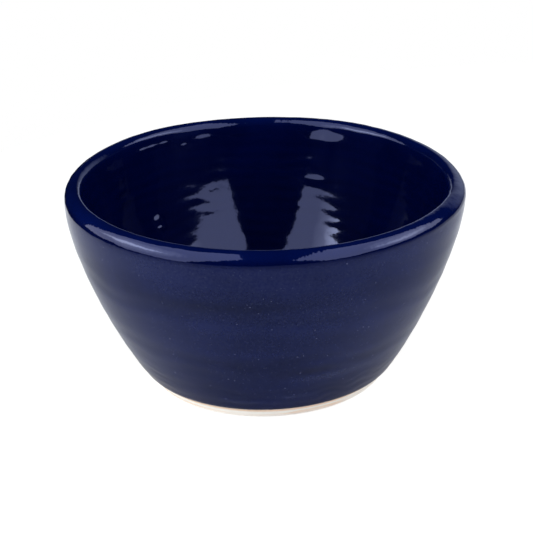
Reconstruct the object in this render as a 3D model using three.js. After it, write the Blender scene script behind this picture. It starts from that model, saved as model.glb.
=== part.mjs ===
// Dip bowl: a hand-thrown stoneware bowl with a bare clay foot under two coats of glaze.
// Millimetres, +Z up, the bowl standing on z = 0 with its axis on Z.
import * as THREE from "three";

// Overall sizes, taken over the glaze
const RIM_DIAMETER = 112; // widest outside, just below the rim
const BOWL_HEIGHT = 58; // table to the crest of the rim

// Rim, a rolled edge made of two quarter ellipses that meet at the crest
const RIM_OUTER_WIDTH = 3.1; // crest out to the widest outside
const RIM_OUTER_DROP = 3.5; // crest down to the widest outside
const RIM_INNER_WIDTH = 1.9; // crest in to the inner wall
const RIM_INNER_DROP = 2.2; // crest down to the inner wall

// Outside wall, one curve from the glaze line up to the rim
const GLAZE_LINE_DIAMETER = 71.7;
const GLAZE_LINE_HEIGHT = 3.4;
const WALL_FLARE = THREE.MathUtils.degToRad(46.6); // lean from upright at the glaze line
const WALL_LOWER_PULL = 6.1; // how far the curve holds that lean
const WALL_UPPER_PULL = 15.6; // how far it runs upright below the rim

// Foot, bare clay
const FOOT_DIAMETER = 66.6;
const FOOT_EDGE_ROUND = 0.6;
const FOOT_RING_WIDTH = 6.5;
const FOOT_RECESS_DEPTH = 1.6;
const FOOT_RECESS_SLOPE = 2.4; // width of the sloping side of the recess

// Inside, over the glaze
const WALL_AT_FOOT = 7; // thickness of the wall at the glaze line
const FLOOR_HEIGHT = 7.5; // table to the floor inside
const WELL_RADIUS = 24; // round between the wall and the floor

// Glaze
const GLAZE_THICKNESS = 0.6;
const GLAZE_BED = 0.1; // clearance between a coat and what it lies on

// Round facets, and points along each stretch of the outline
const SEGMENTS = 60;
const WALL_STEPS = 8;
const RIM_STEPS = 5;
const WELL_STEPS = 6;
const FOOT_EDGE_STEPS = 3;
const HALVINGS = 40; // steps of the search for the place where the well starts

const bareClay = new THREE.MeshStandardMaterial({ name: "stoneware", color: "#e9d9c6", roughness: 0.85 });
const cobaltGlaze = new THREE.MeshStandardMaterial({ name: "cobalt_glaze", color: "#04103f", roughness: 0.1 });

const point = (radius, height) => new THREE.Vector2(radius, height);
const { lerp } = THREE.MathUtils;

// A stop on the outline: a place, and the unit direction out of the material there
const stop = (place, out) => ({ place, out: out.normalize() });

// Places of the stops, moved into the material by a depth
const sunk = (stops, depth) => stops.map(({ place, out }) => place.clone().addScaledVector(out, -depth));

const rimRadius = RIM_DIAMETER / 2;
const rimHeight = BOWL_HEIGHT - RIM_OUTER_DROP;
const crestRadius = rimRadius - RIM_OUTER_WIDTH;
const lipHeight = BOWL_HEIGHT - RIM_INNER_DROP;
const rimThickness = RIM_OUTER_WIDTH + RIM_INNER_WIDTH;
const glazeLine = point(GLAZE_LINE_DIAMETER / 2, GLAZE_LINE_HEIGHT);

const outerWall = new THREE.CubicBezierCurve(
  glazeLine,
  point(
    glazeLine.x + WALL_LOWER_PULL * Math.sin(WALL_FLARE),
    glazeLine.y + WALL_LOWER_PULL * Math.cos(WALL_FLARE),
  ),
  point(rimRadius, rimHeight - WALL_UPPER_PULL),
  point(rimRadius, rimHeight),
);

// Outside wall from the glaze line up to the rim
function wallOutside() {
  const stops = [];
  for (let i = 0; i <= WALL_STEPS; i += 1) {
    const t = i / WALL_STEPS;
    const along = outerWall.getTangent(t);
    stops.push(stop(outerWall.getPoint(t), point(along.y, -along.x)));
  }
  return stops;
}

// Quarter ellipse from the outside up to the crest, where half a clearance parts it from the other
function rimOutside() {
  const width = RIM_OUTER_WIDTH - GLAZE_BED / 2;
  const stops = [];
  for (let i = 1; i <= RIM_STEPS; i += 1) {
    const turn = ((Math.PI / 2) * i) / RIM_STEPS;
    const [across, up] = [Math.cos(turn), Math.sin(turn)];
    const place = point(rimRadius - width * (1 - across), rimHeight + RIM_OUTER_DROP * up);
    stops.push(stop(place, point(across / width, up / RIM_OUTER_DROP)));
  }
  return stops;
}

// Quarter ellipse from the crest down to the inner wall
function rimInside() {
  const width = RIM_INNER_WIDTH - GLAZE_BED / 2;
  const start = crestRadius - GLAZE_BED / 2;
  const stops = [];
  for (let i = 0; i <= RIM_STEPS; i += 1) {
    const turn = ((Math.PI / 2) * i) / RIM_STEPS;
    const [across, up] = [Math.sin(turn), Math.cos(turn)];
    const place = point(start - width * across, lipHeight + RIM_INNER_DROP * up);
    stops.push(stop(place, point(-across / width, up / RIM_INNER_DROP)));
  }
  return stops;
}

// Stop on the inner wall, a wall thickness in from parameter t of the outer wall
function innerWall(t) {
  const along = outerWall.getTangent(t);
  const out = point(-along.y, along.x);
  const place = outerWall.getPoint(t).addScaledVector(out, lerp(WALL_AT_FOOT, rimThickness, t));
  return stop(place, out);
}

// Parameter at which the round of the well leaves the inner wall, found by halving
function wellStart() {
  let [low, high] = [0, 1];
  for (let i = 0; i < HALVINGS; i += 1) {
    const middle = (low + high) / 2;
    const { place, out } = innerWall(middle);
    if (place.y + WELL_RADIUS * out.y < FLOOR_HEIGHT + WELL_RADIUS) low = middle;
    else high = middle;
  }
  return (low + high) / 2;
}

// Inner wall from the rim down to the well, stretched at the top to meet the lip
function wallInside(end) {
  const lift = lipHeight - rimHeight;
  const stops = [];
  for (let i = 1; i <= WALL_STEPS; i += 1) {
    const share = i / WALL_STEPS;
    const { place, out } = innerWall(lerp(1, end, share));
    stops.push(stop(point(place.x, place.y + lift * (1 - share)), out));
  }
  return stops;
}

// Round of the well from the inner wall down to the floor, then the floor in to the axis
function well(end) {
  const { place, out } = innerWall(end);
  const centre = place.clone().addScaledVector(out, WELL_RADIUS);
  const lean = Math.asin(out.y);
  const stops = [];
  for (let i = 1; i <= WELL_STEPS; i += 1) {
    const angle = lerp(lean, Math.PI / 2, i / WELL_STEPS);
    const inward = point(-Math.cos(angle), Math.sin(angle));
    stops.push(stop(centre.clone().addScaledVector(inward, -WELL_RADIUS), inward));
  }
  stops.push(stop(point(0, FLOOR_HEIGHT), point(0, 1)));
  return stops;
}

const outside = [...wallOutside(), ...rimOutside()];
const wellTop = wellStart();
const inside = [...rimInside(), ...wallInside(wellTop), ...well(wellTop)];

// Bare foot from the axis out: recess, its sloping side, the ring it stands on, and the rounded edge
function footOutline(wallStart) {
  const footRadius = FOOT_DIAMETER / 2;
  const ringInner = footRadius - FOOT_RING_WIDTH;
  const along = wallStart.clone().sub(point(footRadius, 0)).normalize();
  const corner = point(footRadius, 0);
  const edge = new THREE.QuadraticBezierCurve(
    point(footRadius - FOOT_EDGE_ROUND, 0),
    corner,
    corner.clone().addScaledVector(along, FOOT_EDGE_ROUND),
  );
  return [
    point(0, FOOT_RECESS_DEPTH),
    point(ringInner - FOOT_RECESS_SLOPE, FOOT_RECESS_DEPTH),
    point(ringInner, 0),
    ...edge.getPoints(FOOT_EDGE_STEPS),
  ];
}

function turned(name, outline, material) {
  const geometry = new THREE.LatheGeometry(outline, SEGMENTS);
  geometry.rotateX(Math.PI / 2);
  const mesh = new THREE.Mesh(geometry, material);
  mesh.name = name;
  return mesh;
}

// Clay body, sunk below the glazed surface by the glaze and its bed
function clayBody() {
  const wall = sunk([...outside, ...inside], GLAZE_THICKNESS + GLAZE_BED);
  return turned("clay_body", [...footOutline(wall[0]), ...wall], bareClay);
}

// Coat poured inside, from the crest of the rim to the middle of the floor
function innerGlaze() {
  const back = sunk(inside, GLAZE_THICKNESS).reverse();
  return turned("inner_glaze", [...back, ...sunk(inside, 0)], cobaltGlaze);
}

// Coat outside, from the glaze line to the crest of the rim
function outerGlaze() {
  const face = sunk(outside, 0);
  const back = sunk(outside, GLAZE_THICKNESS).reverse();
  return turned("outer_glaze", [...face, ...back, face[0].clone()], cobaltGlaze);
}

const group = new THREE.Group();
group.name = "dip_bowl";
group.add(clayBody(), innerGlaze(), outerGlaze());

export default group;
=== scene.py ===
"""Dip bowl: the fired clay and the cobalt glaze of a hand-thrown bowl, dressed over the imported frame."""

import math

import bpy
import numpy as np
from bpy.props import FloatProperty, FloatVectorProperty, PointerProperty
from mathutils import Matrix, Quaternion, Vector


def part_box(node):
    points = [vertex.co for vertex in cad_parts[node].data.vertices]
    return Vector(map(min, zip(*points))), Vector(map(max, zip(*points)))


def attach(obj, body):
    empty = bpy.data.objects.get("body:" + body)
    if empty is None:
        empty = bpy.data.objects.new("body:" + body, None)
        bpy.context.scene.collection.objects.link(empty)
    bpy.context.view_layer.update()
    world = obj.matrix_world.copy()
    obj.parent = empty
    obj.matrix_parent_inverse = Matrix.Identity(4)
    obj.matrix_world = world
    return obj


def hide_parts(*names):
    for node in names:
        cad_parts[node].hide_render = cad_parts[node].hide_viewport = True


bl_info = {
    "name": "Dip Bowl",
    "version": (1, 0, 0),
    "blender": (4, 5, 0),
    "location": "View3D > Sidebar > Dip Bowl",
    "description": "Builds the glaze and the bare clay of a thrown bowl, and the stage that it stands on",
    "category": "Add Mesh",
}

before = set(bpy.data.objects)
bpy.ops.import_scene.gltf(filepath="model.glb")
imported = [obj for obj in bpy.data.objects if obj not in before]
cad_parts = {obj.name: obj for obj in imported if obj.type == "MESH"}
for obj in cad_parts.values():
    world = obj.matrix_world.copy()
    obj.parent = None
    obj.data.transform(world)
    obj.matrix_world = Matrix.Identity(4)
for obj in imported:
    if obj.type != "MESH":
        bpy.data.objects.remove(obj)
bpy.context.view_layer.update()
MM = 0.001

# Rim, two quarter ellipses that meet at the crest
RIM_OUTER_WIDTH = 3.1 * MM
RIM_OUTER_DROP = 3.5 * MM
RIM_INNER_WIDTH = 1.9 * MM
RIM_INNER_DROP = 2.2 * MM

# Outside wall, one curve from the glaze line to the rim
GLAZE_LINE_RADIUS = 35.85 * MM
WALL_FLARE = math.radians(46.6)
WALL_LOWER_PULL = 6.1 * MM
WALL_UPPER_PULL = 15.6 * MM

# Foot, bare clay
FOOT_RADIUS = 33.3 * MM
FOOT_EDGE_ROUND = 0.6 * MM
FOOT_RING_WIDTH = 6.5 * MM
FOOT_RECESS_DEPTH = 1.6 * MM
FOOT_RECESS_SLOPE = 2.4 * MM

# Inside
WALL_AT_FOOT = 7 * MM
WELL_RADIUS = 24 * MM
INNER_WALL_RADIUS = 47 * MM

# Coat of glaze, and its lower edge, which runs down past the solid's to a roll with a bead above it
GLAZE_THICKNESS = 0.6 * MM
GLAZE_BED = 0.1 * MM
GLAZE_RUN = 0.25 * MM
GLAZE_ROLL_LENGTH = 0.8 * MM
GLAZE_ROLL_DEPTH = 0.42 * MM
GLAZE_BEAD = 0.07 * MM
GLAZE_BEAD_UP = 1.8 * MM
GLAZE_BEAD_REACH = 0.8 * MM

# Lean and waves of the rim; here and below, turns round the bowl and half widths round it are in degrees
RIM_LEAN = -1.05 * MM
RIM_SIDESTEP = 0.48 * MM
RIM_WAVES = (
    # Turn, half width, height and width by which the rim stands out
    (130, 18, 0.3 * MM, 0.0),
    (60, 20, 0.3 * MM, 0.0),
    (-12, 14, 0.0, 0.55 * MM),
)

# Fuller stretch of the rim: height, place and reach above the rim's start, turn and half width
RIM_BULGE = 0.14 * MM
RIM_BULGE_UP = 1 * MM
RIM_BULGE_REACH = 1.1 * MM
RIM_BULGE_TURN = (-45, 35)

# Hollow of the inner wall: its depth, and the lengths below the lip over which it deepens and fills in
INNER_HOLLOW = 0.95 * MM
HOLLOW_DEEPENS = (8 * MM, 36 * MM)
HOLLOW_FILLS = (38 * MM, 62 * MM)

# Quilts of swells: the length of a swell, and the seed of its waves
QUILTS = {
    "inner_drift": (18 * MM, 5),
    "inner_depth": (14 * MM, 7),
    "outer_drift": (30 * MM, 17),
    "foot_drift": (14 * MM, 23),
    "foot_depth": (20 * MM, 29),
    "rim": (5 * MM, 11),
    "inside": (7 * MM, 13),
}

# Waves in a quilt, the range of their pace, and the radius at which whole waves are counted
SWELL_WAVES = 40
SWELL_SPREAD = (0.6, 1.5)
SWELL_RADIUS = 50 * MM

# Throwing rings: pitch, drift from a true helix in radians, share by which they swell, lengths of the fades
RING_WANDER = (
    # Waves in a turn, depth and start in radians
    (1, 0.7, 0.6),
    (2, 0.4, 2.1),
)
INNER_RING_PITCH = 3.5 * MM
INNER_RING_DRIFT = 0.6
INNER_RING_SWELL = 0.35
INNER_RING_START = 9 * MM
FLOOR_RING_LOSS = 0.7
OUTER_RING_PITCH = 7.5 * MM
OUTER_RING_DRIFT = 0.8
OUTER_RING_SWELL = 0.6
OUTER_SWELL_PITCH = 16 * MM
OUTER_SWELL_START = 1.2
OUTER_RING_START = 8 * MM
OUTER_RING_END = 9 * MM
FOOT_RINGS = 0.022 * MM
FOOT_RING_PITCH = 3.3 * MM
FOOT_RING_SWELL = 0.6
FOOT_RINGS_START = (1 * MM, 3 * MM)
FOOT_RINGS_END = (6 * MM, 18 * MM)

# Swells of the glaze: their height, and how far from the rim's start and past the lip they come and go
RIM_SWELL = 0.018 * MM
RIM_SWELL_START = (-2 * MM, 1 * MM)
RIM_SWELL_END = 4 * MM
INNER_SWELL = 0.0045 * MM
INNER_SWELL_START = 6 * MM

# Collar, the thick ring below the lip: its height, lengths below the lip, and shares of its height
COLLAR_HEIGHT = 0.48 * MM
COLLAR_START = 0.3 * MM
COLLAR_TOP = 4.4 * MM
COLLAR_END = 17 * MM
COLLAR_CORNER = 0.8 * MM
COLLAR_BACK = 57 * MM
COLLAR_SHARE = 0.6
COLLAR_FALL = 0.95
COLLAR_LUMPS = (
    # Turn, half width, share of the height
    (67, 3.4, 0.7),
)
COLLAR_EASES = (
    # Turn, half width, length by which it starts higher
    (54, 7, 4 * MM),
    (67, 5, 1.6 * MM),
    (82, 8, 4 * MM),
    (110, 16, 4 * MM),
)
COLLAR_ENDS = (
    # Turn, half width, length by which it ends higher
    (124, 11, 4.5 * MM),
)

# Finger marks on the inner wall
FINGER_MARKS = (
    # Turn, length below the lip, height, half width and half length as lengths
    (69.2, 16.2 * MM, 0.13 * MM, 2.7 * MM, 1.25 * MM),
    (134.9, 23.2 * MM, 0.34 * MM, 1.3 * MM, 1.4 * MM),
    (134.6, 25.7 * MM, 0.36 * MM, 1.1 * MM, 0.9 * MM),
    (113, 2.6 * MM, 0.1 * MM, 3 * MM, 1.3 * MM),
    (118.3, 3.6 * MM, 0.17 * MM, 0.8 * MM, 0.6 * MM),
    (125.8, 1.7 * MM, 0.17 * MM, 1.2 * MM, 0.55 * MM),
    (131, 1.8 * MM, 0.22 * MM, 1.8 * MM, 0.6 * MM),
    (135.3, 1.9 * MM, 0.25 * MM, 1.4 * MM, 0.65 * MM),
)

# Bands of the outside wall: how steeply they tip it, and how many times their height the wall leans back
BAND_TILT = 0.06
BAND_LEAN = 5
GLAZE_BANDS = (
    # Turn, half width, height, half height, share by which the glaze is paler
    (-106, 30, 42.2 * MM, 1.9 * MM, -0.5),
    (-90, 200, 53 * MM, 5.5 * MM, 0.19),
    (-90, 200, 33 * MM, 5 * MM, 0.14),
    (-95, 30, 26 * MM, 1.3 * MM, 0.15),
    (-84, 40, 20 * MM, 2.6 * MM, -0.22),
    (-73, 10, 18.8 * MM, 1.3 * MM, -0.18),
    (-62, 22, 15.8 * MM, 1.5 * MM, 0.7),
    (-61, 14, 22 * MM, 1.1 * MM, 0.5),
    (-104, 11, 7.1 * MM, 0.8 * MM, 0.6),
    (-81, 8, 9 * MM, 0.8 * MM, 0.6),
)

# Zones of the glaze: lengths from the rim's start, its crest and its lip, and shares
WALL_END = (-1 * MM, 0.8 * MM)
INSIDE_START = 3 * MM
# Painted shade: a dark line in the inside's colour where the rim starts, given by its share, height and
# reach
PAINTED_SHADE_LINE = 0.75
PAINTED_SHADE_LINE_UP = 0.6 * MM
PAINTED_SHADE_LINE_REACH = 1.1 * MM
WALL_RIPPLE_LOSS = 0.6
INNER_RIPPLE_LOSS = 0.79
INNER_RIPPLE_START = 1.5 * MM
INNER_RIPPLE_END = 1 * MM

# Grid of the surfaces: points round the bowl, and rows on each stretch of an outline
COLUMNS = 264
FINE_STOPS = 600
FACE_ROWS = {"wall": 110, "rim": 48, "inner": 140, "well": 24, "floor": 6}
BACK_ROWS = {"wall": 8, "rim": 6, "inner": 8, "well": 5, "floor": 2}
CLAY_ROWS = {"wall": 10, "rim": 8, "inner": 8, "well": 5, "floor": 2}
RECESS_ROWS = 60
SLOPE_ROWS = 9
EDGE_ROWS = 7
BAND_ROWS = 24

# Values of the noise at which clouds start and are full
MOTTLE_LIMITS = (0.3, 0.7)

# Sockets of a Mix node that mixes colours
MIX_SHARE, MIX_LOW, MIX_HIGH = 0, 6, 7
MIX_RESULT = 2

# Glaze finish: its gloss, its patterns, and the gain and the base of what they add to shade and grain
GLAZE_IOR = 1.76
GLAZE_GLOSS_TINT = (0.43, 0.5, 1.0)
GLAZE_SPECULAR = 0.5
GLAZE_SPECULAR_MIRRORED = 0.08
GLAZE_CLOUDS = {"Scale": 90.0, "Detail": 3.0}
GLAZE_SATIN = {"Scale": 1500.0, "Detail": 1.0}
GLAZE_RIPPLE = {"Scale": 700.0, "Detail": 1.0}
GLAZE_GRAINS = {"Density": 1100.0, "Radius": 0.24, "Share": 0.5}
GLAZE_PINHOLES = {"Density": 400.0, "Radius": 0.1, "Share": 0.55}
CLOUD_SHADE = (0.3, 0.85)
# Painted light and shade that the ridges of the throwing rings add to the colour
RIDGE_PAINTED_SHADE = 0.08
BAND_SHADE_MOST = 0.2
CLOUD_GRAIN = (0.65, 0.35)
BAND_GRAIN = (0.6, -0.12)
SATIN_GRAIN = 0.14
CLOUD_ROUGHNESS = 0.02
GLAZE_BUMP = 0.04 * MM

# Clay finish: its patterns, where the kiln flashed it by height and by how much, the painted shade line at
# the foot's bottom edge, and its bump
CLAY_STREAKS = {"Scale": 900.0, "Detail": 3.0}
CLAY_CLOUDS = {"Scale": 70.0, "Detail": 2.0}
CLAY_GRIT = {"Scale": 2600.0, "Detail": 2.0}
CLAY_SPECKS = {"Density": 700.0, "Radius": 0.12, "Share": 0.12}
STREAK_SQUEEZE = 0.04
STREAK_LIMITS = (0.5, 0.7)
STREAK_FLASH = (0.8, 0.1)
GLAZE_LINE_FLASH = (1.9 * MM, 2.5 * MM, 0.0, 0.9)
# Painted shade: the foot's bottom edge drawn in the peach colour, darker than the cream
FOOT_EDGE_PAINTED_SHADE = (0.05 * MM, 0.4 * MM, 0.7, 0.0)
CLAY_ROUGHNESS = 0.85
CLAY_IOR = 1.4
CLAY_BUMP = 0.03 * MM

# Table top, and its grey and its glow to the camera
TABLE_MIDDLE = np.array([0.12, -0.02, -0.05 * MM])
TABLE_RADIUS = 0.31
TABLE_SIDES = 96
TABLE_GREY = 0.35
TABLE_GLOW = 0.8

# Table top as the glaze mirrors it, with painted light and shade: its tint, and the power of its grading
# from darker in front to paler behind
TABLE_TINT = (0.94, 0.97, 1.03)
TABLE_CURVE = 3.4

# Painted light on it: radii of the slope beside the foot, and radius, half width and gain of a ring
TABLE_LIGHT_BESIDE = (0.045, 0.1)
TABLE_LIGHT_RING = (0.132, 0.046, 0.19)

# Directions that the lamps face
LEFT_FACING = (0.934, 0, -0.358)
RIGHT_FACING = (-0.934, 0, -0.358)
BACK_FACING = (-0.454, -0.891, 0)
LAMP_COLOUR = (1, 0.98, 0.76)
CARD_COLOUR = (0.7, 0.78, 1)

# Lamps: radiance, place, direction, roll in degrees, width and height, and the colour of those that fade
LAMPS = {
    "left_softbox": (1.4, (-0.2266, -0.24, 0.3117), LEFT_FACING, -15, (0.54, 0.715), None),
    "left_glow": (1.3, (-0.27, -0.125, 0.176), LEFT_FACING, 0, (0.32, 0.28), LAMP_COLOUR),
    "left_tube": (4.3, (-0.277, -0.085, 0.163), LEFT_FACING, 9, (0.27, 0.075), LAMP_COLOUR),
    "right_softbox": (1.4, (0.235, -0.255, 0.276), RIGHT_FACING, 8, (0.65, 0.4), None),
    "right_glow": (1.0, (0.255, -0.05, 0.21), RIGHT_FACING, 0, (0.26, 0.2), LAMP_COLOUR),
    "right_tube": (2.1, (0.262, -0.05, 0.195), RIGHT_FACING, -8, (0.21, 0.065), LAMP_COLOUR),
    "back_card": (0.55, (0.216, 0.36, 0.131), BACK_FACING, 0, (0.5, 0.36), CARD_COLOUR),
    "low_card": (0.6, (0, 0.46, 0.1), (0, -1, 0), 0, (0.36, 0.1), CARD_COLOUR),
}
LAMP_CENTRE = (0.5, 0.5, 0)

# Camera, as the photograph sees the bowl, with its roll in radians
FRAME_PIXELS = 533
FOCAL_PIXELS = 1743.8
SENSOR_WIDTH = 36
CAMERA_BACK = 458.7 * MM
CAMERA_HEIGHT = 228.7 * MM
CAMERA_AIM = Vector((0.27 * MM, 0, 30.8 * MM))
CAMERA_ROLL = -0.036
CAMERA_CLIP = (0.01, 20)

WHITE = (1, 1, 1, 1)


# Settings

class DipBowlSizes(bpy.types.PropertyGroup):
    """Sizes of the bowl over its glaze"""

    rim_radius: FloatProperty(
        name="Rim radius",
        description="Axis to the widest outside, just below the rim",
        default=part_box("outer_glaze")[1].x,
        unit="LENGTH",
    )
    height: FloatProperty(
        name="Height",
        description="Table to the crest of the rim",
        default=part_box("outer_glaze")[1].z,
        unit="LENGTH",
    )
    glaze_line_radius: FloatProperty(
        name="Glaze line radius",
        description="Axis to the lower edge of the glaze",
        default=GLAZE_LINE_RADIUS - GLAZE_RUN * math.tan(WALL_FLARE),
        unit="LENGTH",
    )
    glaze_line_height: FloatProperty(
        name="Glaze line height",
        description="Table to the lower edge of the glaze",
        default=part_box("outer_glaze")[0].z - GLAZE_RUN,
        unit="LENGTH",
    )
    foot_radius: FloatProperty(
        name="Foot radius",
        description="Axis to the outer edge of the ring that the bowl stands on",
        default=FOOT_RADIUS,
        unit="LENGTH",
    )
    floor_height: FloatProperty(
        name="Floor height",
        description="Table to the glazed floor inside",
        default=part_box("inner_glaze")[0].z + GLAZE_THICKNESS,
        unit="LENGTH",
    )
    inner_rings: FloatProperty(
        name="Inner rings",
        description="Depth of the throwing rings inside",
        default=0.0043 * MM,
        unit="LENGTH",
    )
    outer_rings: FloatProperty(
        name="Outer rings",
        description="Depth of the throwing rings outside",
        default=0.026 * MM,
        unit="LENGTH",
    )


class DipBowlFinish(bpy.types.PropertyGroup):
    """Colours and gloss of the glaze and the clay"""

    glaze_inside: FloatVectorProperty(
        name="Inside glaze",
        description="Glaze inside, where it lies thickest",
        default=(0.0001, 0.0014, 0.025),
        subtype="COLOR",
    )
    glaze_rim: FloatVectorProperty(
        name="Rim glaze",
        description="Glaze over the rim",
        default=(0.0003, 0.0031, 0.044),
        subtype="COLOR",
    )
    # The wall's paler red and green are partly painted reflection of the pale table, taken into its colour
    glaze_wall: FloatVectorProperty(
        name="Wall glaze",
        description="Glaze on the outside wall, where it is thinner and paler",
        default=(0.0036, 0.0069, 0.044),
        subtype="COLOR",
    )
    glaze_speck: FloatVectorProperty(
        name="Glaze speck",
        description="Pale pinholes in the glaze on the wall",
        default=(0.125, 0.14, 0.24),
        subtype="COLOR",
    )
    glaze_grain: FloatVectorProperty(
        name="Glaze grain",
        description="Faint grains of clay that show through the glaze on the wall",
        default=(0.045, 0.053, 0.1),
        subtype="COLOR",
    )
    glaze_roughness: FloatProperty(
        name="Glaze roughness",
        description="Roughness of the glaze inside and on the rim",
        default=0.05,
        min=0,
        max=1,
    )
    wall_roughness: FloatProperty(
        name="Wall roughness",
        description="Roughness of the satin glaze on the outside wall",
        default=0.16,
        min=0,
        max=1,
    )
    clay_cream: FloatVectorProperty(
        name="Cream clay",
        description="Bare fired clay",
        default=(0.95, 0.935, 0.91),
        subtype="COLOR",
    )
    # Also the colour of the painted shade line along the foot's bottom edge
    clay_peach: FloatVectorProperty(
        name="Peach clay",
        description="Bare clay where the kiln flashed it",
        default=(0.84, 0.61, 0.46),
        subtype="COLOR",
    )
    clay_speck: FloatVectorProperty(
        name="Clay speck",
        description="Iron specks in the clay",
        default=(0.3, 0.18, 0.1),
        subtype="COLOR",
    )


class DipBowlStage(bpy.types.PropertyGroup):
    """Floor and lamps"""

    floor_colour: FloatVectorProperty(
        name="Floor",
        description="Colour of the floor as it lights the bowl",
        default=(0.9, 0.9, 0.9),
        subtype="COLOR",
    )
    floor_shine: FloatProperty(
        name="Floor shine",
        description="Light that comes up through the white table",
        default=0.12,
        min=0,
    )
    # Painted light and shade of the floor in the glaze's mirror: darker in front of the bowl, paler behind
    # it and beside the foot
    floor_mirrored: FloatVectorProperty(
        name="Mirrored floor",
        description="Paleness of the floor as the glaze mirrors it, in front of the bowl and behind it",
        default=(0.16, 1.5),
        size=2,
    )
    floor_light_beside: FloatProperty(
        name="Floor beside the foot",
        description="Paleness that the mirrored floor gains on both sides of the foot",
        default=0.46,
        min=0,
        max=1,
    )
    room_light: FloatProperty(
        name="Room light",
        description="Even light from all round",
        default=0.4,
        min=0,
    )
    room_mirrored: FloatProperty(
        name="Mirrored room",
        description="Brightness of the room as the glaze mirrors it",
        default=0.004,
        min=0,
    )
    lamp_level: FloatProperty(
        name="Lamp level",
        description="Share of their written radiance that all lamps give",
        default=1.0,
        min=0,
    )


# Outline of the bowl

def smooth_step(low, high, value):
    """0 below low, 1 above high, and a smooth cubic between them."""
    x = np.clip((value - low) / (high - low), 0, 1)
    return x * x * (3 - 2 * x)


def hump(value, middle, reach):
    """exp(-x * x), where x is the way from the middle over the reach: 1 there, 0 far off."""
    return np.exp(-(((value - middle) / reach) ** 2))


def way_round(around, turn):
    """Short way round the bowl from a turn in degrees, in radians."""
    return np.angle(np.exp(1j * (around - math.radians(turn))))


def bell(around, turn, half_width):
    """A hump round the bowl, with its turn and its half width in degrees."""
    return hump(way_round(around, turn), 0, math.radians(half_width))


def bells(around, spots):
    """Sum of bells, each given by its turn, its half width and its height."""
    return sum(height * bell(around, turn, width) for turn, width, height in spots)


def inner_hollow(inside):
    """Depth that the fingers pressed the inner wall out: deepens slowly below the lip, fills in the well."""
    return INNER_HOLLOW * smooth_step(*HOLLOW_DEEPENS, inside) * (1 - smooth_step(*HOLLOW_FILLS, inside))


def bezier(t, a, b, c, d):
    """Points and unit tangents of a cubic curve: a, b, c and d weighted by the powers of 1 - t and t."""
    t = t[:, None]
    s = 1 - t
    points = s**3 * a + 3 * s**2 * t * b + 3 * s * t**2 * c + t**3 * d
    along = s**2 * (b - a) + 2 * s * t * (c - b) + t**2 * (d - c)
    return points, along / np.linalg.norm(along, axis=1, keepdims=True)


def quarter_ellipse(centre, across, up, turn):
    """Points and outward directions of an ellipse: centre plus across times cosine and up times sine."""
    points = np.stack([centre[0] + across * np.cos(turn), centre[1] + up * np.sin(turn)], 1)
    out = np.stack([np.cos(turn) / across, np.sin(turn) / up], 1)
    return points, out / np.linalg.norm(out, axis=1, keepdims=True)


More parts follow.
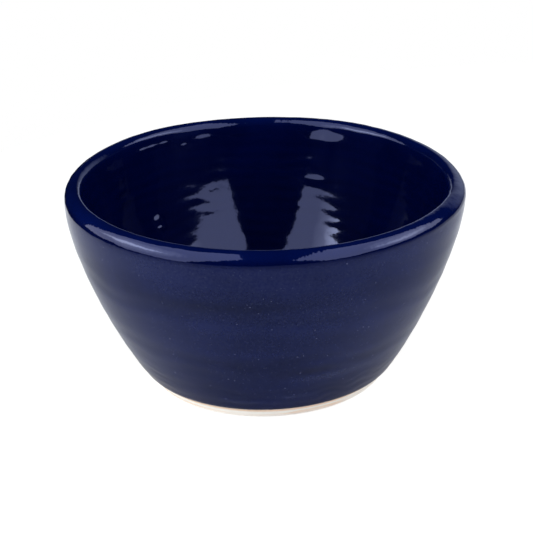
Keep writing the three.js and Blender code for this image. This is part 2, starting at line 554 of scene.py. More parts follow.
class Outline:
    """The glazed outline as radius, height and outward direction by the length along it.

    It runs from the glaze line up the outside wall, over the two quarter ellipses of the rim, down the
    inner wall, which is the outer wall moved in by a thickness that grows towards the foot, round the
    well, which is an arc, and along the floor to the axis. The inside is then pressed out by its hollow.
    """

    def __init__(self, sizes):
        rim_height = sizes.height - RIM_OUTER_DROP
        lip_height = sizes.height - RIM_INNER_DROP
        crest_radius = sizes.rim_radius - RIM_OUTER_WIDTH
        t = np.linspace(0, 1, FINE_STOPS)
        line = np.array([sizes.glaze_line_radius, sizes.glaze_line_height])
        top = np.array([sizes.rim_radius, rim_height])
        lean = np.array([math.sin(WALL_FLARE), math.cos(WALL_FLARE)])
        wall, tangent = bezier(
            t, line, line + WALL_LOWER_PULL * lean, top - np.array([0, WALL_UPPER_PULL]), top
        )
        inward = np.stack([-tangent[:, 1], tangent[:, 0]], 1)
        turn = t * math.pi / 2
        outer_rim = quarter_ellipse((crest_radius, rim_height), RIM_OUTER_WIDTH, RIM_OUTER_DROP, turn)
        inner_rim = quarter_ellipse(
            (crest_radius, lip_height), RIM_INNER_WIDTH, RIM_INNER_DROP, math.pi / 2 + turn
        )

        thickness = WALL_AT_FOOT + (RIM_OUTER_WIDTH + RIM_INNER_WIDTH - WALL_AT_FOOT) * t
        inner_wall = wall + inward * thickness[:, None]
        arc_height = inner_wall[:, 1] + WELL_RADIUS * inward[:, 1]
        start = int(np.searchsorted(arc_height, sizes.floor_height + WELL_RADIUS))
        inner_wall = inner_wall[start:][::-1]
        inner_out = inward[start:][::-1]
        inner_wall[:, 1] += (lip_height - rim_height) * np.linspace(1, 0, len(inner_wall))
        arc_middle = inner_wall[-1] + WELL_RADIUS * inner_out[-1]
        arc_turn = np.linspace(math.asin(inner_out[-1, 1]), math.pi / 2, FINE_STOPS)
        arc_out = np.stack([-np.cos(arc_turn), np.sin(arc_turn)], 1)
        well = arc_middle - WELL_RADIUS * arc_out
        floor = np.stack([well[-1, 0] * (1 - t), np.full(FINE_STOPS, well[-1, 1])], 1)
        floor_out = np.tile([0.0, 1.0], (FINE_STOPS, 1))

        stretches = (wall, outer_rim[0], inner_rim[0], inner_wall, well, floor)
        place = np.concatenate(stretches)
        step = np.linalg.norm(np.diff(place, axis=0), axis=1)
        ends = np.cumsum([len(stretch) for stretch in stretches]) - 1
        self.out = np.concatenate([-inward, outer_rim[1], inner_rim[1], inner_out, arc_out, floor_out])
        self.length = np.concatenate([[0], np.cumsum(step)])
        self.rim_start, self.crest, self.lip, self.well, self.floor, self.end = self.length[ends]
        self.place = place - self.out * inner_hollow(self.length - self.lip)[:, None]

    def at(self, along):
        """Radius, height and outward direction at each length along the outline."""
        columns = (self.place[:, 0], self.place[:, 1], self.out[:, 0], self.out[:, 1])
        return [np.interp(along, self.length, column) for column in columns]

    def rows(self, **counts):
        """Lengths along the outline, evenly spaced on each stretch; the axis itself is left to a pole."""
        spans = {
            "wall": (0, self.rim_start),
            "rim": (self.rim_start, self.lip),
            "inner": (self.lip, self.well),
            "well": (self.well, self.floor),
            "floor": (self.floor, self.end),
        }
        return np.concatenate([np.linspace(*spans[name], counts[name], endpoint=False) for name in spans])


# Marks of the hand

def swells(along, around, quilt):
    """A quilt of gentle swells: sine waves of about its length, in seeded directions, summed.

    Each makes a whole number of waves round the bowl, so that the seam closes. The sum has a spread of 1.
    """
    length, seed = QUILTS[quilt]
    seeded = np.random.default_rng(seed)
    wave = 2 * math.pi / length * seeded.uniform(*SWELL_SPREAD, SWELL_WAVES)
    heading = seeded.uniform(0, math.pi, SWELL_WAVES)
    climb = wave * np.cos(heading)
    turns = np.round(wave * np.sin(heading) * SWELL_RADIUS)
    start = seeded.uniform(0, 2 * math.pi, SWELL_WAVES)
    total = np.zeros(np.broadcast_shapes(along.shape, around.shape))
    for k in range(SWELL_WAVES):
        total += np.sin(climb[k] * along + turns[k] * around + start[k])
    return total / math.sqrt(SWELL_WAVES / 2)


def helix(along, around, pitch, drift):
    """Sine of a helix that climbs one pitch in a turn, moved on by a drift in radians."""
    return np.sin(2 * math.pi * along / pitch + around + drift)


def throwing_rings(outline, along, around, sizes):
    """Relief left by the fingers: helixes that swell and fade as they go.

    Inside, their pitch is short, and they fade at the lip and on the floor. Outside, it is long, with finer
    rings from the trimming tool just above the foot.
    """
    wander = sum(depth * np.sin(waves * around + start) for waves, depth, start in RING_WANDER)

    inside = along - outline.lip
    drift = wander + INNER_RING_DRIFT * swells(along, around, "inner_drift")
    swell = 1 + INNER_RING_SWELL * swells(along, around, "inner_depth")
    fade = smooth_step(0, INNER_RING_START, inside)
    fade = fade * (1 - FLOOR_RING_LOSS * smooth_step(outline.well, outline.floor, along))
    inner = sizes.inner_rings * fade * swell * helix(inside, around, INNER_RING_PITCH, drift)

    drift = wander + OUTER_RING_DRIFT * swells(along, around, "outer_drift")
    swell = 1 + OUTER_RING_SWELL * helix(along, around, OUTER_SWELL_PITCH, OUTER_SWELL_START)
    fade = smooth_step(0, OUTER_RING_START, along)
    fade = fade * (1 - smooth_step(outline.rim_start - OUTER_RING_END, outline.rim_start, along))
    outer = sizes.outer_rings * fade * swell * helix(along, around, OUTER_RING_PITCH, drift)

    drift = swells(along, around, "foot_drift")
    swell = 1 + FOOT_RING_SWELL * swells(along, around, "foot_depth")
    fade = smooth_step(*FOOT_RINGS_START, along) * (1 - smooth_step(*FOOT_RINGS_END, along))
    return inner + outer + FOOT_RINGS * fade * swell * helix(along, around, FOOT_RING_PITCH, drift)


def glaze_swells(outline, along, around):
    """Unevenness of the glaze: short swells over the rim, longer and shallower ones down the inside."""
    over_rim = smooth_step(*RIM_SWELL_START, along - outline.rim_start)
    over_rim = over_rim * (1 - smooth_step(0, RIM_SWELL_END, along - outline.lip))
    inside = smooth_step(0, INNER_SWELL_START, along - outline.lip)
    rim = RIM_SWELL * over_rim * swells(along, around, "rim")
    return rim + INNER_SWELL * inside * swells(along, around, "inside")


def soft_ramp(start, along):
    """Length gone past a start, with a soft corner: the corner times log(1 + exp(length over corner))."""
    return COLLAR_CORNER * np.logaddexp(0, (along - start) / COLLAR_CORNER)


def collar(outline, along, around):
    """The thick ring that the fingers left below the lip: rises to its height, then falls away evenly.

    It has an even share of its height all round, and a lump, shaped as a bell, where each finger left it.
    The even fall has a share of its own, and what is left of both goes back to nothing further down.
    Other bells ease its start and its end, so that it begins or stops higher there.
    """
    inside = along - outline.lip
    start = COLLAR_START - bells(around, COLLAR_EASES)
    end = COLLAR_END - bells(around, COLLAR_ENDS)
    rise = smooth_step(start, COLLAR_TOP, inside)
    fall = (soft_ramp(COLLAR_TOP, inside) - soft_ramp(end, inside)) / (end - COLLAR_TOP)
    back = smooth_step(COLLAR_END, COLLAR_BACK, inside)
    lumps = bells(around, COLLAR_LUMPS) * (rise - fall)
    return COLLAR_HEIGHT * (COLLAR_SHARE * (rise - back) - COLLAR_FALL * (fall - back) + lumps)


def rim_bulge(outline, along, around):
    """A fuller stretch of the rim on the right of the front: a hump across the rim and a bell round it."""
    across = hump(along - outline.rim_start, RIM_BULGE_UP, RIM_BULGE_REACH)
    return RIM_BULGE * across * bell(around, *RIM_BULGE_TURN)


def finger_marks(outline, along, around):
    """Soft bumps on the inner wall, some just under the lip, each a hump over its half width and length."""
    total = np.zeros(np.broadcast_shapes(along.shape, around.shape))
    for turn, below, rise, width, length in FINGER_MARKS:
        across = hump(way_round(around, turn) * INNER_WALL_RADIUS, 0, width)
        total += rise * across * hump(along - outline.lip, below, length)
    return total


def glaze_bands(height, around):
    """Share by which the wall's colour is paler, and darker where the share is negative: humps over height
    and turn.
    """
    return sum(
        share * hump(height, middle, reach) * bell(around, turn, width)
        for turn, width, middle, reach, share in GLAZE_BANDS
    )


def band_relief(height, around):
    """Relief of the bands: each tips the wall over its own height, and leans it back over a longer one."""
    total = np.zeros(np.broadcast_shapes(height.shape, around.shape))
    for turn, width, middle, reach, share in GLAZE_BANDS:
        tipped = smooth_step(middle - reach, middle + reach, height)
        leant = smooth_step(middle - BAND_LEAN * reach, middle + BAND_LEAN * reach, height)
        total -= BAND_TILT * share * reach * (tipped - leant) * bell(around, turn, width)
    return total


def glaze_roll(along):
    """Lower edge of the glaze: a quarter round that meets the clay, and a slight bead above it."""
    share = np.clip(1 - along / GLAZE_ROLL_LENGTH, 0, 1)
    bead = GLAZE_BEAD * hump(along, GLAZE_BEAD_UP, GLAZE_BEAD_REACH)
    return bead - GLAZE_ROLL_DEPTH * (1 - np.sqrt(1 - share**2))


def hand_thrown(points, sizes):
    """Leans the rim and waves it: by the square of the height, each point rises along X and steps sideways.

    By its sixth power, the rim stands out up and sideways at each wave, which is a bell round the bowl.
    """
    share = (np.clip(points[..., 2], 0, None) / sizes.height) ** 2
    around = np.arctan2(points[..., 1], points[..., 0])
    waves = [(bell(around, turn, width), up, wide) for turn, width, up, wide in RIM_WAVES]
    wider = share**3 * sum(near * wide for near, _, wide in waves) / sizes.rim_radius
    lifted = points.copy()
    lifted[..., :2] *= 1 + wider[..., None]
    lifted[..., 2] += share * RIM_LEAN * points[..., 0] / sizes.rim_radius
    lifted[..., 2] += share**3 * sum(near * up for near, up, _ in waves)
    lifted[..., 0] += share * RIM_SIDESTEP
    return lifted


# Meshes

def turns_round(count):
    """Evenly spaced turns round the axis, in radians."""
    return np.linspace(0, 2 * math.pi, count, endpoint=False)


def turned_points(radius, height, around):
    """Points of a surface of revolution: radius times cosine and sine of the turn, at the height."""
    x, y, z = np.broadcast_arrays(radius * np.cos(around), radius * np.sin(around), height)
    return np.stack([x, y, z], -1)


def turned_mesh(name, points, low_pole, high_pole, marks):
    """A closed mesh from rings of points between two poles, with a value at each point for each mark."""
    rows, columns, _ = points.shape
    ring = np.arange(columns)
    after = (ring + 1) % columns
    first = np.arange(rows - 1)[:, None] * columns
    quads = np.stack([first + ring, first + after, first + columns + after, first + columns + ring], -1)
    last = (rows - 1) * columns
    low, high = rows * columns, rows * columns + 1
    fans = np.concatenate([
        np.stack([np.full(columns, low), after, ring], -1),
        np.stack([last + ring, last + after, np.full(columns, high)], -1),
    ])
    places = np.concatenate([points.reshape(-1, 3), [low_pole, high_pole]])
    corners = np.concatenate([quads.ravel(), fans.ravel()])
    quad_count = quads.size // 4
    starts = np.concatenate([np.arange(quad_count) * 4, quad_count * 4 + np.arange(len(fans)) * 3])
    mesh = bpy.data.meshes.new(name)
    mesh.vertices.add(len(places))
    mesh.vertices.foreach_set("co", places.astype(np.float32).ravel())
    mesh.loops.add(len(corners))
    mesh.loops.foreach_set("vertex_index", corners.astype(np.int32))
    mesh.polygons.add(len(starts))
    mesh.polygons.foreach_set("loop_start", starts.astype(np.int32))
    mesh.update(calc_edges=True)
    mesh.validate()
    mesh.shade_smooth()
    for mark_name, values in marks.items():
        layer = mesh.attributes.new(mark_name, "FLOAT", "POINT")
        layer.data.foreach_set("value", np.concatenate([values.ravel(), [0, 0]]).astype(np.float32))
    return mesh


def place_piece(name, mesh, material, slot, *nodes):
    """Puts a finished mesh into the scene, on the frame's one body, in place of its nodes."""
    mesh.materials.append(material)
    piece = bpy.data.objects.new(name, mesh)
    bpy.context.scene.collection.objects.link(piece)
    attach(piece, "root")
    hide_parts(*nodes)


def glaze_zones(outline, along):
    """Shares of the wall's finish, of the inside's and of the ripple by the length along the outline.

    The wall's goes to 0 at the rim. The inside's comes in from the crest to below the lip, with a hump of
    painted shade, a dark line of the inside's colour where the rim starts. The ripple is whole on the rim,
    and loses a share on each side.
    """
    wall = 1 - smooth_step(*WALL_END, along - outline.rim_start)
    inside = smooth_step(outline.crest, outline.lip + INSIDE_START, along)
    inside = inside + PAINTED_SHADE_LINE * hump(along - outline.rim_start, PAINTED_SHADE_LINE_UP, PAINTED_SHADE_LINE_REACH)
    inner = smooth_step(outline.crest + INNER_RIPPLE_START, outline.lip + INNER_RIPPLE_END, along)
    ripple = 1 - WALL_RIPPLE_LOSS * wall - INNER_RIPPLE_LOSS * inner
    return wall, inside, ripple


def glaze_mesh(sizes):
    """The coat of glaze as one shell: its back on the clay, the rolled edge, then the face."""
    outline = Outline(sizes)
    around = turns_round(COLUMNS)
    face_rows = outline.rows(**FACE_ROWS)[:, None]
    radius, height, out_r, out_z = outline.at(face_rows)
    wall, inside, ripple = glaze_zones(outline, face_rows)
    rings = throwing_rings(outline, face_rows, around, sizes)
    shaping = (glaze_swells, collar, rim_bulge, finger_marks)
    relief = rings + glaze_roll(face_rows) + sum(shape(outline, face_rows, around) for shape in shaping)
    relief = relief + wall * band_relief(height, around)
    face = turned_points(radius + relief * out_r, height + relief * out_z, around)

    back_rows = outline.rows(**BACK_ROWS)[::-1, None]
    back_radius, back_height, out_r, out_z = outline.at(back_rows)
    back = turned_points(
        back_radius - GLAZE_THICKNESS * out_r, back_height - GLAZE_THICKNESS * out_z, around
    )

    points = hand_thrown(np.concatenate([back, face]), sizes)
    low = (0, 0, sizes.floor_height - GLAZE_THICKNESS)
    high = (0, 0, sizes.floor_height)
    depth = np.where(face_rows > outline.lip, sizes.inner_rings, sizes.outer_rings)
    bands = wall * glaze_bands(height, around)
    shares = {"ridge": rings / depth, "bands": bands, "wall": wall, "inside": inside, "ripple": ripple}
    bare = np.zeros(back.shape[:2])
    marks = {
        name: np.concatenate([bare, np.broadcast_to(share, rings.shape)]) for name, share in shares.items()
    }
    return turned_mesh("glaze", points, low, high, marks)


def clay_mesh(sizes):
    """The clay as one solid: recess, foot ring, rounded edge, bare band, then the wall under the glaze."""
    outline = Outline(sizes)
    depth = GLAZE_THICKNESS + GLAZE_BED
    radius, height, out_r, out_z = outline.at(outline.rows(**CLAY_ROWS))
    wall = np.stack([radius - depth * out_r, height - depth * out_z], 1)

    corner = np.array([sizes.foot_radius, 0.0])
    band = wall[0] - corner
    edge_start = corner - np.array([FOOT_EDGE_ROUND, 0])
    edge_end = corner + FOOT_EDGE_ROUND * (band / np.linalg.norm(band))
    share = np.linspace(0, 1, EDGE_ROWS)[:, None]
    edge = (1 - share) ** 2 * edge_start + 2 * (1 - share) * share * corner + share**2 * edge_end
    band_rows = edge_end + (wall[0] - edge_end) * np.linspace(0, 1, BAND_ROWS, endpoint=False)[1:, None]

    ring_inner = sizes.foot_radius - FOOT_RING_WIDTH
    share = np.linspace(0, 1, SLOPE_ROWS)
    slope_radius = ring_inner - FOOT_RECESS_SLOPE * (1 - share)
    slope = np.stack([slope_radius, FOOT_RECESS_DEPTH * (1 - smooth_step(0, 1, share))], 1)
    recess_radius = np.linspace(0, slope_radius[0], RECESS_ROWS, endpoint=False)[1:]
    recess = np.stack([recess_radius, np.full_like(recess_radius, FOOT_RECESS_DEPTH)], 1)
    profile = np.concatenate([recess, slope, edge, band_rows, wall])

    points = hand_thrown(turned_points(profile[:, :1], profile[:, 1:], turns_round(COLUMNS)), sizes)
    low = (0, 0, FOOT_RECESS_DEPTH)
    high = (0, 0, sizes.floor_height - depth)
    return turned_mesh("clay", points, low, high, {})


# Shader nodes

def empty_tree(holder):
    """The node tree of a material, a world or a lamp, emptied."""
    holder.use_nodes = True
    holder.node_tree.nodes.clear()
    return holder.node_tree


def add_node(tree, kind, values=None, **settings):
    """A node of that kind with its settings, and its inputs by name set to values or linked to sockets."""
    node = tree.nodes.new(kind)
    for setting, value in settings.items():
        setattr(node, setting, value)
    for name, value in (values or {}).items():
        if isinstance(value, bpy.types.NodeSocket):
            tree.links.new(value, node.inputs[name])
        else:
            node.inputs[name].default_value = value
    return node


def maths(tree, operation, a, b=0.0, c=0.0):
    """The output of one Math node."""
    return add_node(tree, "ShaderNodeMath", {0: a, 1: b, 2: c}, operation=operation).outputs["Value"]


def vector_maths(tree, operation, values, output="Vector"):
    """An output of one Vector Math node."""
    return add_node(tree, "ShaderNodeVectorMath", values, operation=operation).outputs[output]


def ranged(tree, value, low, high, start=0.0, end=1.0, kind="SMOOTHSTEP"):
    """A value that goes from start to end as the given one goes from low to high, and no further."""
    return add_node(
        tree,
        "ShaderNodeMapRange",
        {"Value": value, "From Min": low, "From Max": high, "To Min": start, "To Max": end},
        interpolation_type=kind,
    ).outputs["Result"]


def mixed(tree, share, low, high):
    """A colour that runs from low to high as share goes from 0 to 1."""
    low, high = (end if isinstance(end, bpy.types.NodeSocket) else (*end, 1) for end in (low, high))
    values = {MIX_SHARE: share, MIX_LOW: low, MIX_HIGH: high}
    return add_node(tree, "ShaderNodeMix", values, data_type="RGBA").outputs[MIX_RESULT]


def mark(tree, name):
    """The value that the mesh carries under that name."""
    return add_node(tree, "ShaderNodeAttribute", attribute_name=name).outputs["Fac"]


def noise(tree, place, values):
    """Plain noise over the piece, at a scale and a detail."""
    return add_node(tree, "ShaderNodeTexNoise", {"Vector": place, **values}).outputs["Fac"]


def bump(tree, height, distance):
    """The normal of a surface with bumps of a height times a distance."""
    values = {"Height": height, "Strength": 1.0, "Distance": distance}
    return add_node(tree, "ShaderNodeBump", values).outputs["Normal"]


def new_group(name, inputs, output):
    """An empty shader group over a vector, with its inputs by their defaults, and one output."""
    group = bpy.data.node_groups.new(name, "ShaderNodeTree")
    group.interface.new_socket("Vector", in_out="INPUT", socket_type="NodeSocketVector")
    for label, default in inputs.items():
        socket = group.interface.new_socket(label, in_out="INPUT", socket_type="NodeSocketFloat")
        socket.default_value = default
    group.interface.new_socket(output, in_out="OUTPUT", socket_type="NodeSocketFloat")
    entry = group.nodes.new("NodeGroupInput")
    leave = group.nodes.new("NodeGroupOutput")
    return group, entry.outputs, leave.inputs


def specks_group():
    """Sparse round specks: a mask from 1 at scattered points to 0 at a radius, kept in a share of them."""
    group, given, result = new_group("Specks", {"Density": 300.0, "Radius": 0.06, "Share": 0.3}, "Mask")
    cells = add_node(
        group, "ShaderNodeTexVoronoi", {"Vector": given["Vector"], "Scale": given["Density"]}
    ).outputs
    disc = ranged(group, cells["Distance"], given["Radius"], 0.0)
    kept = maths(group, "LESS_THAN", cells["Color"], given["Share"])
    group.links.new(maths(group, "MULTIPLY", disc, kept), result["Mask"])
    return group


def mottle_group():
    """Soft clouds: noise at a scale, stretched to run from 0 to 1."""
    group, given, result = new_group("Mottle", {"Scale": 100.0, "Detail": 2.0}, "Value")
    plain = noise(group, given["Vector"], {"Scale": given["Scale"], "Detail": given["Detail"]})
    group.links.new(ranged(group, plain, *MOTTLE_LIMITS, kind="LINEAR"), result["Value"])
    return group


def shared_groups():
    """The shader groups by their use, built by the first piece that asks for them."""
    groups = bpy.data.node_groups
    return {
        "specks": groups.get("Specks") or specks_group(),
        "mottle": groups.get("Mottle") or mottle_group(),
    }


def pattern(tree, group, place, values):
    """The mask or value of a shared group over the piece."""
    return add_node(tree, "ShaderNodeGroup", {"Vector": place, **values}, node_tree=group).outputs[0]


def surface(tree, values):
    """Ends a material's tree with a Principled BSDF of those values."""
    shader = add_node(tree, "ShaderNodeBsdfPrincipled", values)
    add_node(tree, "ShaderNodeOutputMaterial", {"Surface": shader.outputs["BSDF"]})


def cobalt_glaze(finish, groups):
    """Cobalt glaze: deep and glossy inside and on the rim, paler and satin on the wall, with pinholes. Part
    of the wall's paleness is painted reflection of the pale table.

    Clouds and bands shade it, the ridges of the throwing rings add painted light and shade, and fine grains
    show on the wall where it lies thin. Where it is itself mirrored, it has less gloss.
    """
    material = bpy.data.materials.new("cobalt_glaze")
    tree = empty_tree(material)
    place = add_node(tree, "ShaderNodeTexCoord").outputs["Object"]
    wall = mark(tree, "wall")
    bands = mark(tree, "bands")
    clouds = pattern(tree, groups["mottle"], place, GLAZE_CLOUDS)
    satin = pattern(tree, groups["mottle"], place, GLAZE_SATIN)
    grains = pattern(tree, groups["specks"], place, GLAZE_GRAINS)
    pinholes = maths(tree, "MULTIPLY", pattern(tree, groups["specks"], place, GLAZE_PINHOLES), wall)

    body = mixed(tree, wall, finish.glaze_rim, finish.glaze_wall)
    # The inside's share also holds the painted shade line where the rim starts
    body = mixed(tree, mark(tree, "inside"), body, finish.glaze_inside)
    shade = maths(tree, "MULTIPLY_ADD", clouds, *CLOUD_SHADE)
    # Painted light and shade along the throwing rings: lighter on their crests, darker in their troughs
    shade = maths(tree, "MULTIPLY_ADD", mark(tree, "ridge"), RIDGE_PAINTED_SHADE, shade)
    shade = maths(tree, "ADD", shade, maths(tree, "MINIMUM", bands, BAND_SHADE_MOST))
    body = vector_maths(tree, "MULTIPLY", {0: body, 1: shade})
    streak = maths(tree, "MAXIMUM", maths(tree, "MULTIPLY_ADD", bands, *BAND_GRAIN), 0.0)
    faint = maths(tree, "MULTIPLY_ADD", grains, maths(tree, "MULTIPLY_ADD", clouds, *CLOUD_GRAIN), streak)
    faint = maths(tree, "MULTIPLY_ADD", satin, SATIN_GRAIN, faint)
    body = mixed(tree, maths(tree, "MULTIPLY", faint, wall), body, finish.glaze_grain)

    duller = finish.wall_roughness - finish.glaze_roughness
    rough = maths(tree, "MULTIPLY_ADD", wall, duller, finish.glaze_roughness)
    rough = maths(tree, "MULTIPLY_ADD", clouds, CLOUD_ROUGHNESS, rough)
    again = add_node(tree, "ShaderNodeLightPath").outputs["Is Glossy Ray"]
    weaker = GLAZE_SPECULAR_MIRRORED - GLAZE_SPECULAR
    ripple = maths(tree, "MULTIPLY", noise(tree, place, GLAZE_RIPPLE), mark(tree, "ripple"))
    surface(tree, {
        "Base Color": mixed(tree, pinholes, body, finish.glaze_speck),
        "Roughness": maths(tree, "MAXIMUM", rough, pinholes),
        "IOR": GLAZE_IOR,
        "Specular IOR Level": maths(tree, "MULTIPLY_ADD", again, weaker, GLAZE_SPECULAR),
        "Specular Tint": (*GLAZE_GLOSS_TINT, 1),
        "Normal": bump(tree, maths(tree, "SUBTRACT", ripple, pinholes), GLAZE_BUMP),
    })
    return material


def bare_clay(finish, groups):
    """Bare stoneware: cream with peach flashing in streaks that follow the turning, iron specks and grit.
    The bottom edge of the foot also takes the peach colour, as a painted shade line.

    The streaks are clouds over a squeezed place, whose height is the radius plus the height.
    """
    material = bpy.data.materials.new("bare_clay")
    tree = empty_tree(material)
    place = add_node(tree, "ShaderNodeTexCoord").outputs["Object"]
    x, y, height = add_node(tree, "ShaderNodeSeparateXYZ", {"Vector": place}).outputs
    flat = add_node(tree, "ShaderNodeCombineXYZ", {"X": x, "Y": y}).outputs["Vector"]
    radius = vector_maths(tree, "LENGTH", {0: flat}, "Value")
    squeezed = {
        "X": maths(tree, "MULTIPLY", x, STREAK_SQUEEZE),
        "Y": maths(tree, "MULTIPLY", y, STREAK_SQUEEZE),
        "Z": maths(tree, "ADD", radius, height),
    }
    turned = add_node(tree, "ShaderNodeCombineXYZ", squeezed).outputs["Vector"]
    streaks = pattern(tree, groups["mottle"], turned, CLAY_STREAKS)
    clouds = pattern(tree, groups["mottle"], place, CLAY_CLOUDS)
    specks = pattern(tree, groups["specks"], place, CLAY_SPECKS)

    under_glaze = ranged(tree, height, *GLAZE_LINE_FLASH)
    # Painted shade along the foot's bottom edge, mixed in with the flashing
    edge = ranged(tree, height, *FOOT_EDGE_PAINTED_SHADE)
    lines = ranged(tree, streaks, *STREAK_LIMITS)
    lines = maths(tree, "MULTIPLY", lines, maths(tree, "MULTIPLY_ADD", clouds, *STREAK_FLASH))
    flashed = maths(tree, "MAXIMUM", maths(tree, "MAXIMUM", under_glaze, edge), lines)
    body = mixed(tree, flashed, finish.clay_cream, finish.clay_peach)
    surface(tree, {
        "Base Color": mixed(tree, specks, body, finish.clay_speck),
        "Roughness": CLAY_ROUGHNESS,
        "IOR": CLAY_IOR,
        "Normal": bump(tree, maths(tree, "ADD", noise(tree, place, CLAY_GRIT), streaks), CLAY_BUMP),
    })
    return material


# Stage

def by_ray(tree, plain, mirrored, seen):
    """One shader for rays from the camera, one for rays from a gloss and one for all others."""
    ray = add_node(tree, "ShaderNodeLightPath").outputs
    unseen = add_node(tree, "ShaderNodeMixShader", {0: ray["Is Glossy Ray"], 1: plain, 2: mirrored})
    mix = {0: ray["Is Camera Ray"], 1: unseen.outputs["Shader"], 2: seen}
    return add_node(tree, "ShaderNodeMixShader", mix).outputs["Shader"]


def matt_glow(tree, colour, glow):
    """A matt shader of a colour that also shines white at a strength."""
    matt = add_node(tree, "ShaderNodeBsdfDiffuse", {"Color": (*colour, 1)}).outputs["BSDF"]
    shine = add_node(tree, "ShaderNodeEmission", {"Color": WHITE, "Strength": glow}).outputs["Emission"]
    return add_node(tree, "ShaderNodeAddShader", {0: matt, 1: shine}).outputs["Shader"]


def mirrored_painted_light(tree, stage):
    """Painted light and shade of the floor in a mirror: darker in front and paler behind, and paler on both
    sides of the bowl.

    The grade is a power of the share of the way from front to back. To it come painted light on a slope
    beside the foot and in a ring, 1 minus the square of the way from its middle, both times 1 minus the
    square of the way back.
    """
    place = add_node(tree, "ShaderNodeTexCoord").outputs["Object"]
    way = vector_maths(tree, "NORMALIZE", {0: place})
    back = add_node(tree, "ShaderNodeSeparateXYZ", {"Vector": way}).outputs["Y"]
    front, behind = stage.floor_mirrored
    grade = maths(tree, "POWER", maths(tree, "MULTIPLY_ADD", back, 0.5, 0.5), TABLE_CURVE)
    grade = maths(tree, "MULTIPLY_ADD", grade, behind - front, front)
    length = vector_maths(tree, "LENGTH", {0: place}, "Value")
    near = ranged(tree, length, *TABLE_LIGHT_BESIDE, stage.floor_light_beside, 0.0, "LINEAR")
    radius, reach, gain = TABLE_LIGHT_RING
    apart = maths(tree, "MULTIPLY_ADD", length, 1 / reach, -radius / reach)
    ring = maths(tree, "MULTIPLY_ADD", maths(tree, "MULTIPLY", apart, apart), -gain, gain)
    beside = maths(tree, "ADD", near, maths(tree, "MAXIMUM", ring, 0.0))
    aside = maths(tree, "MULTIPLY_ADD", maths(tree, "MULTIPLY", back, back), -1.0, 1.0)
    return maths(tree, "MULTIPLY_ADD", beside, aside, grade)


def pale_floor(stage):
    """Floor material: plain and pale, graded with painted light and shade in a mirror, and white to the
    camera but for the shadow.
    """
    material = bpy.data.materials.new("pale_floor")
    tree = empty_tree(material)
    plain = matt_glow(tree, stage.floor_colour, stage.floor_shine)
    tinted = vector_maths(tree, "SCALE", {0: TABLE_TINT, "Scale": mirrored_painted_light(tree, stage)})
    mirrored = add_node(tree, "ShaderNodeBsdfDiffuse", {"Color": tinted}).outputs["BSDF"]
    seen = matt_glow(tree, (TABLE_GREY, TABLE_GREY, TABLE_GREY), TABLE_GLOW)
    add_node(tree, "ShaderNodeOutputMaterial", {"Surface": by_ray(tree, plain, mirrored, seen)})
    return material


def white_world(stage):
    """World: white to the camera, dim to the glaze's mirror, and an even room light to everything else."""
    world = bpy.data.worlds.new("room")
    tree = empty_tree(world)
    plain, mirrored, seen = (
        add_node(tree, "ShaderNodeBackground", {"Color": WHITE, "Strength": strength}).outputs["Background"]
        for strength in (stage.room_light, stage.room_mirrored, 1.0)
    )
    add_node(tree, "ShaderNodeOutputWorld", {"Surface": by_ray(tree, plain, mirrored, seen)})
    bpy.context.scene.world = world


def fade_lamp(lamp):
    """Fades a lamp from its middle to its edge, as 1 minus the square of the share of the way out."""
    tree = empty_tree(lamp)
    across = add_node(tree, "ShaderNodeNewGeometry").outputs["Parametric"]
    off = vector_maths(tree, "SUBTRACT", {0: across, 1: LAMP_CENTRE})
    out = maths(tree, "MULTIPLY", vector_maths(tree, "LENGTH", {0: off}, "Value"), 2.0)
    left = maths(tree, "SUBTRACT", 1.0, maths(tree, "POWER", out, 2.0))
    light = add_node(tree, "ShaderNodeEmission", {"Strength": maths(tree, "MAXIMUM", left, 0.0)})
    add_node(tree, "ShaderNodeOutputLight", {"Surface": light.outputs["Emission"]})


def add_aimed(name, data, place, facing, roll):
    """An object at a place, turned to face a direction and rolled about it."""
    holder = bpy.data.objects.new(name, data)
    holder.location = place
    holder.rotation_mode = "QUATERNION"
    holder.rotation_quaternion = facing.to_track_quat("-Z", "Y") @ Quaternion((0, 0, 1), roll)
    bpy.context.scene.collection.objects.link(holder)
    return holder


def add_lamp(name, radiance, place, facing, roll, size, fading):
    """A lamp that the camera doesn't see: a rectangle, or an ellipse that fades.

    Its power is pi times its area times its radiance.
    """
    lamp = bpy.data.lights.new(name, "AREA")
    lamp.shape = "ELLIPSE" if fading else "RECTANGLE"
    lamp.size, lamp.size_y = size
    area = size[0] * size[1] * (math.pi / 4 if fading else 1)
    lamp.energy = math.pi * area * radiance
    if fading:
        lamp.color = fading
        fade_lamp(lamp)
    add_aimed(name, lamp, place, Vector(facing), math.radians(roll)).visible_camera = False


def add_camera():
    """The camera at the photograph's angle: placed by its height and distance, aimed, then rolled."""
    camera = bpy.data.cameras.new("camera")
    camera.sensor_width = SENSOR_WIDTH
    camera.lens = FOCAL_PIXELS * SENSOR_WIDTH / FRAME_PIXELS
    camera.clip_start, camera.clip_end = CAMERA_CLIP
    place = Vector((0, -CAMERA_BACK, CAMERA_HEIGHT))
    bpy.context.scene.camera = add_aimed("camera", camera, place, CAMERA_AIM - place, CAMERA_ROLL)


def add_floor(stage):
    """A round table top just under the foot: a circle round its middle."""
    circle = TABLE_MIDDLE + turned_points(TABLE_RADIUS, 0.0, turns_round(TABLE_SIDES))
    mesh = bpy.data.meshes.new("floor")
    mesh.from_pydata(circle.tolist(), [], [tuple(range(TABLE_SIDES))])
    mesh.materials.append(pale_floor(stage))
    floor = bpy.data.objects.new("floor", mesh)
    bpy.context.scene.collection.objects.link(floor)


# Operators

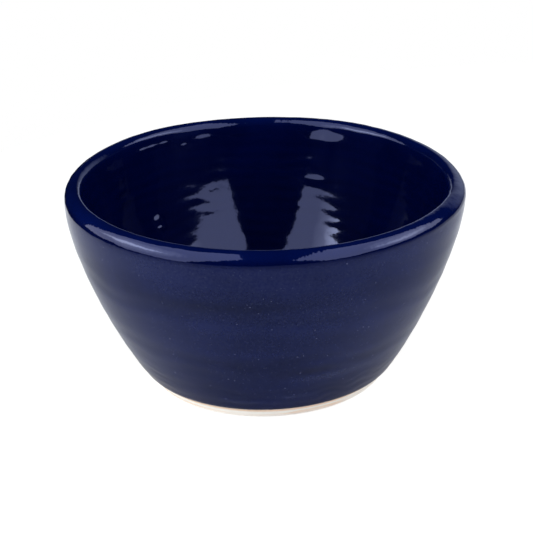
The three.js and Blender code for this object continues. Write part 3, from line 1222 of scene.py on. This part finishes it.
class DIPBOWL_OT_glaze(bpy.types.Operator):
    """Build the coat of cobalt glaze"""

    bl_idname = "dipbowl.glaze"
    bl_label = "Glaze"

    def execute(self, context):
        material = cobalt_glaze(context.scene.dip_bowl_finish, shared_groups())
        mesh = glaze_mesh(context.scene.dip_bowl_sizes)
        place_piece("glaze", mesh, material, "cobalt_glaze", "inner_glaze", "outer_glaze")
        return {"FINISHED"}


class DIPBOWL_OT_clay(bpy.types.Operator):
    """Build the clay body with its bare foot"""

    bl_idname = "dipbowl.clay"
    bl_label = "Clay"

    def execute(self, context):
        material = bare_clay(context.scene.dip_bowl_finish, shared_groups())
        mesh = clay_mesh(context.scene.dip_bowl_sizes)
        place_piece("clay", mesh, material, "stoneware", "clay_body")
        return {"FINISHED"}


class DIPBOWL_OT_stage(bpy.types.Operator):
    """Set the floor, the lamps, the room and the camera"""

    bl_idname = "dipbowl.stage"
    bl_label = "Stage"

    def execute(self, context):
        stage = context.scene.dip_bowl_stage
        add_floor(stage)
        white_world(stage)
        for name, (radiance, *setting) in LAMPS.items():
            add_lamp(name, radiance * stage.lamp_level, *setting)
        add_camera()
        context.scene.view_settings.view_transform = "Standard"
        return {"FINISHED"}


class DIPBOWL_PT_panel(bpy.types.Panel):
    """Lists the pieces of the dip bowl"""

    bl_idname = "DIPBOWL_PT_panel"
    bl_label = "Dip Bowl"
    bl_space_type = "VIEW_3D"
    bl_region_type = "UI"
    bl_category = "Dip Bowl"

    def draw(self, context):
        for operator in ("dipbowl.clay", "dipbowl.glaze", "dipbowl.stage"):
            self.layout.operator(operator)


CLASSES = (
    DipBowlSizes,
    DipBowlFinish,
    DipBowlStage,
    DIPBOWL_OT_clay,
    DIPBOWL_OT_glaze,
    DIPBOWL_OT_stage,
    DIPBOWL_PT_panel,
)


def register():
    for kind in CLASSES:
        bpy.utils.register_class(kind)
    bpy.types.Scene.dip_bowl_sizes = PointerProperty(type=DipBowlSizes)
    bpy.types.Scene.dip_bowl_finish = PointerProperty(type=DipBowlFinish)
    bpy.types.Scene.dip_bowl_stage = PointerProperty(type=DipBowlStage)


def unregister():
    del bpy.types.Scene.dip_bowl_stage
    del bpy.types.Scene.dip_bowl_finish
    del bpy.types.Scene.dip_bowl_sizes
    for kind in reversed(CLASSES):
        bpy.utils.unregister_class(kind)


def main():
    register()
    bpy.ops.dipbowl.clay()
    bpy.ops.dipbowl.glaze()
    bpy.ops.dipbowl.stage()


if __name__ == "__main__":
    main()
